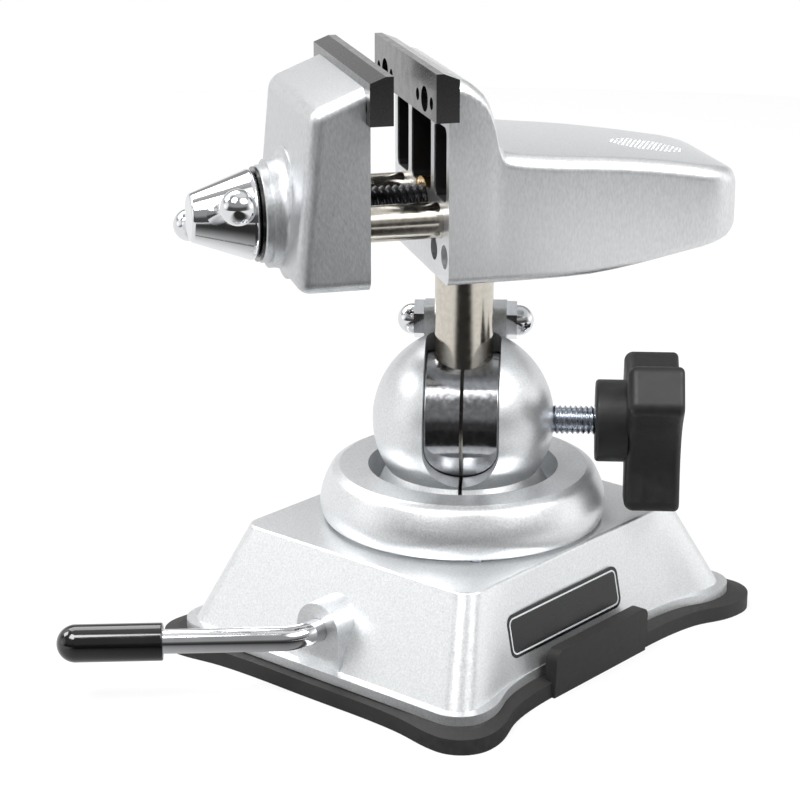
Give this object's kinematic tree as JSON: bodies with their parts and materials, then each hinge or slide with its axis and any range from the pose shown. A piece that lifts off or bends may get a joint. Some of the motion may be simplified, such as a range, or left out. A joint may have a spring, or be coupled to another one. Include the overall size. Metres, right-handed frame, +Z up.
{
  "type": "suction base vise",
  "caption": "Small bench vise on a lever operated suction base, with a split swivel ball, a lobed clamp knob, a screw driven sliding jaw, two guide rods and black jaw pads.",
  "frame": {"origin": "Centre of the underside of the rubber pad, below the turning axis of the swivel ball.", "axes": "+Z up; -X is the side with the lever, -Y the side with the bare plate and the pull tab."},
  "size_m": [0.1787, 0.133, 0.1617],
  "materials": {
    "die_casting": "satin",
    "sand_casting": "satin",
    "chrome": "polished",
    "nickel": "satin",
    "zinc_steel": "satin",
    "brass": "satin",
    "rubber": "matte",
    "vinyl": "glossy",
    "nylon": "glossy",
    "knob_plastic": "matte",
    "plate_film": "satin"
  },
  "bodies": {
    "base": {"base_housing": "die_casting", "label_plate": "plate_film", "turret_ring": "die_casting", "ring_screws": "zinc_steel", "vacuum_pad": "rubber"},
    "lever": {"lever_rod": "chrome", "lever_grip": "vinyl", "lever_cam": "zinc_steel", "lever_retaining_clip": "zinc_steel"},
    "lift": {"pad_plate": "zinc_steel", "pad_yoke": "zinc_steel"},
    "turret": {"ball_half_left": "die_casting", "ball_half_right": "die_casting", "tie_rod": "zinc_steel", "acorn_nuts": "chrome"},
    "knob": {"clamp_knob_stud": "zinc_steel", "clamp_knob": "knob_plastic"},
    "clamp": {"clamp_half_left": "chrome", "clamp_half_right": "chrome"},
    "head": {"head_shaft": "nickel", "head_body": "sand_casting", "lead_nut": "brass", "fixed_jaw_pad": "nylon", "fixed_jaw_screws": "zinc_steel"},
    "jaw": {"movable_jaw": "sand_casting", "movable_jaw_pad": "nylon", "movable_jaw_screws": "zinc_steel", "guide_rods": "nickel"},
    "screw": {"lead_screw": "zinc_steel", "thrust_collar": "zinc_steel", "jaw_knob_washer": "nylon", "jaw_knob": "chrome", "cross_bar": "chrome"}
  },
  "joints": [
    {"name": "turret_turn", "type": "hinge", "parent": "base", "child": "turret", "pos_m": [0, 0, 0.0478], "axis": [0, 0, 1], "continuous": true},
    {"name": "head_tilt", "type": "hinge", "parent": "turret", "child": "clamp", "pos_m": [0, 0, 0.06075], "axis": [0.6018, -0.7986, 0], "range_deg": [0, 85]},
    {"name": "head_turn", "type": "hinge", "parent": "clamp", "child": "head", "pos_m": [0, 0, 0.06075], "axis": [0, 0, 1], "continuous": true},
    {"name": "jaw_slide", "type": "slide", "parent": "head", "child": "jaw", "axis": [-0.8192, 0.5736, 0], "range_m": [-0.0108, 0.0461]},
    {"name": "jaw_screw_turn", "type": "hinge", "parent": "jaw", "child": "screw", "pos_m": [-0.0557, 0.039, 0.1213], "axis": [-0.8192, 0.5736, 0], "continuous": true},
    {"name": "lever_turn", "type": "hinge", "parent": "base", "child": "lever", "pos_m": [0, 0, 0.0176], "axis": [1, 0, 0], "range_deg": [0, 180]},
    {"name": "pad_lift", "type": "slide", "parent": "base", "child": "lift", "axis": [0, 0, 1], "range_m": [0, 0.004]},
    {"name": "clamp_knob_turn", "type": "hinge", "parent": "turret", "child": "knob", "pos_m": [0.03009, -0.03993, 0.06075], "axis": [0.6018, -0.7986, 0], "range_deg": [-720, 0]}
  ],
  "couplings": [
    {"joint": "jaw_screw_turn", "follows": "jaw_slide", "rad_per_m": 3463.2},
    {"joint": "lever_turn", "follows": "pad_lift", "rad_per_m": 785.4}
  ]
}
